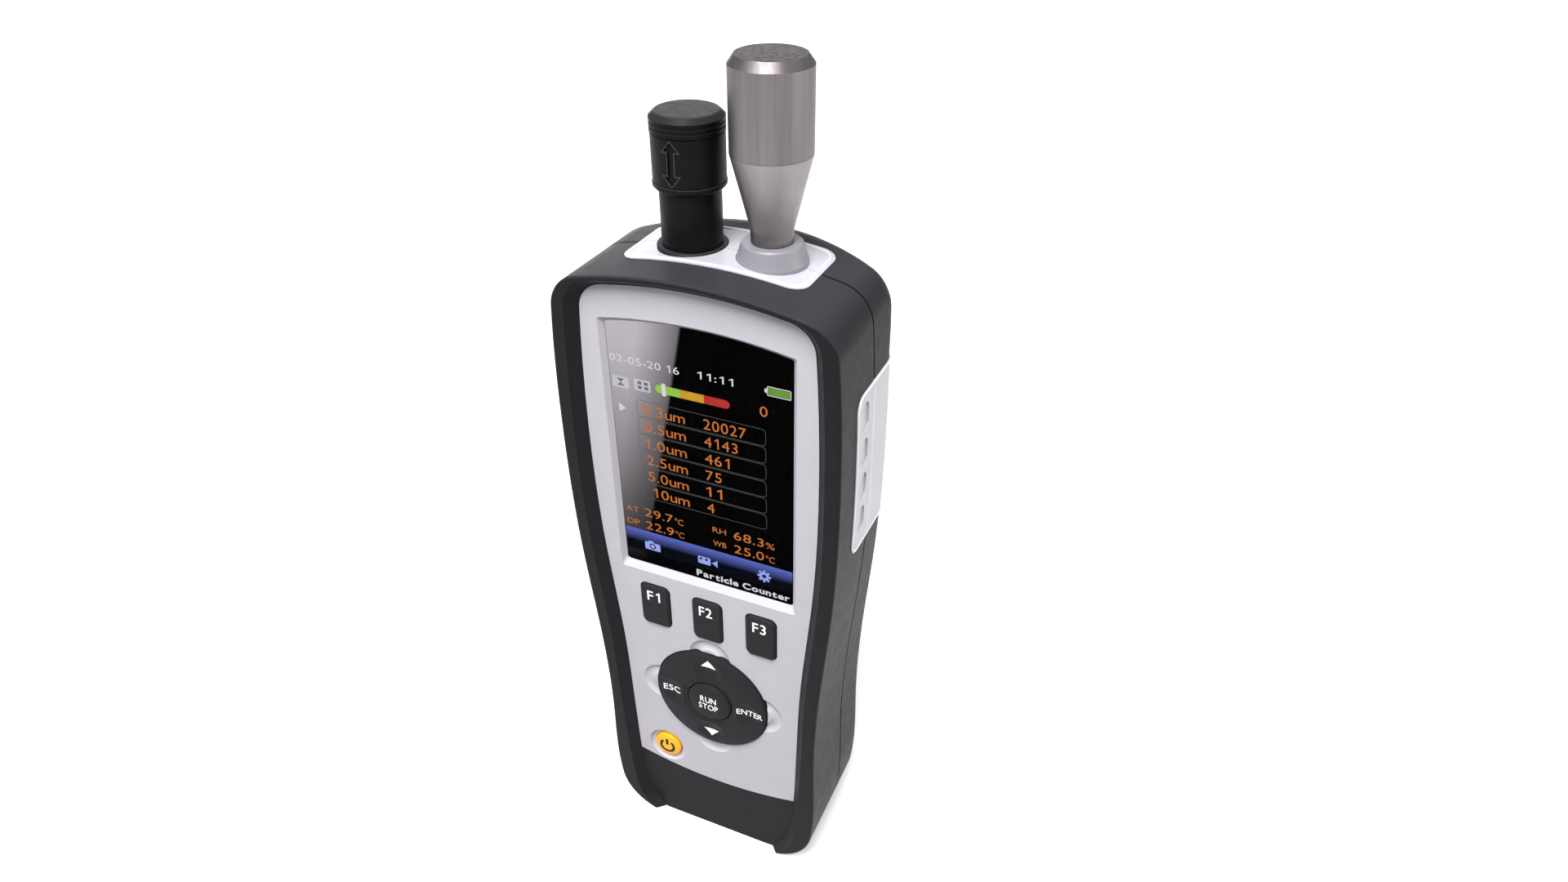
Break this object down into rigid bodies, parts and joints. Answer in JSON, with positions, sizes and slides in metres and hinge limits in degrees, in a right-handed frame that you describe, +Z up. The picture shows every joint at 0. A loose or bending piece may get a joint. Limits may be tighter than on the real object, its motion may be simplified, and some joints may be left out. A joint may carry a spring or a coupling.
{
  "type": "air quality monitor",
  "caption": "Handheld particle counter: waisted two-shell body, colour display, keys and rocking pad, sliding humidity probe and capped metal air inlet.",
  "frame": {"origin": "under the middle of the base, at the centre of the housing's depth", "axes": "+Z up along the body towards the probes, the display faces -Y, +X to the right seen from the front"},
  "size_m": [0.0754, 0.046, 0.2308],
  "materials": {
    "boot_charcoal": "fine-grained satin",
    "faceplate_grey": "matte, fine texture",
    "panel_grey": "satin",
    "panel_white": "gloss",
    "collar_grey": "satin",
    "key_rubber": "soft matte",
    "power_orange": "satin",
    "sensor_black": "matte",
    "probe_steel": "brushed lengthwise",
    "display_glass": "polished",
    "screen_black": "gloss",
    "glow_orange": "lit",
    "glow_white": "lit",
    "glow_green": "lit",
    "glow_yellow": "lit",
    "glow_red": "lit",
    "glow_blue": "lit",
    "glow_line": "lit",
    "print_white": "printed ink",
    "print_black": "printed ink",
    "gasket_black": "matte",
    "port_rubber": "soft matte",
    "circuit_green": "solder mask",
    "inner_metal": "satin",
    "inner_black": "matte",
    "battery_wrap": "film",
    "hose_silicone": "silicone",
    "screw_steel": "zinc plated",
    "brass": "turned",
    "lens_glass": "coated",
    "lamp_clear": "clear",
    "contact_steel": "bright"
  },
  "bodies": {
    "housing": {"front_shell": "boot_charcoal", "rear_shell": "boot_charcoal", "shell_gasket": "gasket_black", "faceplate": "faceplate_grey", "display_window": "display_glass", "lcd_panel": "screen_black", "lcd_tray": "inner_metal", "keypad_mat": "inner_black", "key_domes": "contact_steel", "main_board": "circuit_green", "case_screws": "screw_steel", "battery_tray": "inner_black", "battery_pack": "battery_wrap", "tripod_insert": "brass", "camera_bezel": "sensor_black", "camera_window": "lens_glass", "camera_module": "inner_black", "work_lamp": "lamp_clear", "dc_jack": "inner_black", "usb_socket": "contact_steel", "card_socket": "contact_steel", "sensor_stem": "sensor_black", "sensor_cage": "sensor_black", "sensor_cap": "sensor_black", "sensor_board": "circuit_green", "inlet_collar": "collar_grey", "inlet_funnel": "probe_steel", "inlet_hose": "hose_silicone", "optics_block": "inner_metal", "laser_module": "brass", "photodetector_board": "circuit_green", "pump_head": "inner_black", "pump_motor": "inner_metal", "exhaust_filter": "hose_silicone", "buzzer": "inner_black", "side_panel_front_left": "panel_grey", "side_panel_front_right": "panel_grey", "side_panel_rear_left": "panel_grey", "side_panel_rear_right": "panel_grey", "top_panel_front": "panel_white", "top_panel_rear": "panel_white"},
    "f1_key": {"key_f1": "key_rubber"},
    "f2_key": {"key_f2": "key_rubber"},
    "f3_key": {"key_f3": "key_rubber"},
    "nav_carrier": {"nav_web": "key_rubber"},
    "nav_disc": {"nav_pad": "key_rubber"},
    "run_key": {"run_stop_button": "key_rubber"},
    "power_key": {"power_button": "power_orange"},
    "sleeve": {"sensor_sleeve": "sensor_black"},
    "dust_cap": {"inlet_dust_cap": "probe_steel"},
    "battery_cover": {"battery_door": "boot_charcoal", "battery_door_screw": "screw_steel"},
    "port_flap": {"port_cover": "port_rubber"}
  },
  "joints": [
    {"name": "f1_press", "type": "slide", "parent": "housing", "child": "f1_key", "axis": [0, 1, 0], "range_m": [0, 0.0008], "stiffness_N_per_m": 1500, "springref_m": -0.0003},
    {"name": "f2_press", "type": "slide", "parent": "housing", "child": "f2_key", "axis": [0, 1, 0], "range_m": [0, 0.0008], "stiffness_N_per_m": 1500, "springref_m": -0.0003},
    {"name": "f3_press", "type": "slide", "parent": "housing", "child": "f3_key", "axis": [0, 1, 0], "range_m": [0, 0.0008], "stiffness_N_per_m": 1500, "springref_m": -0.0003},
    {"name": "power_press", "type": "slide", "parent": "housing", "child": "power_key", "axis": [0, 1, 0], "range_m": [0, 0.0008], "stiffness_N_per_m": 1500, "springref_m": -0.0003},
    {"name": "nav_rock_up_down", "type": "hinge", "parent": "housing", "child": "nav_carrier", "pos_m": [0, -0.0156, 0.05628], "axis": [1, 0, 0], "range_deg": [-2.5, 2.5], "stiffness_Nm_per_rad": 0.6},
    {"name": "nav_rock_left_right", "type": "hinge", "parent": "nav_carrier", "child": "nav_disc", "pos_m": [0, -0.0156, 0.05628], "axis": [0, 0, 1], "range_deg": [-2.5, 2.5], "stiffness_Nm_per_rad": 0.6},
    {"name": "run_stop_press", "type": "slide", "parent": "nav_disc", "child": "run_key", "axis": [0, 1, 0], "range_m": [0, 0.0008], "stiffness_N_per_m": 1500, "springref_m": -0.0003},
    {"name": "sleeve_slide", "type": "slide", "parent": "housing", "child": "sleeve", "axis": [0, 0, -1], "range_m": [0, 0.0134]},
    {"name": "dust_cap_lift", "type": "slide", "parent": "housing", "child": "dust_cap", "axis": [0, 0, 1], "range_m": [0, 0.014]},
    {"name": "battery_cover_lift", "type": "slide", "parent": "housing", "child": "battery_cover", "axis": [0, 1, 0], "range_m": [0, 0.012]},
    {"name": "port_flap_hinge", "type": "hinge", "parent": "housing", "child": "port_flap", "pos_m": [-0.03215, -0.0084, 0.05275], "axis": [0, -1, 0], "range_deg": [0, 95], "stiffness_Nm_per_rad": 0.002}
  ]
}
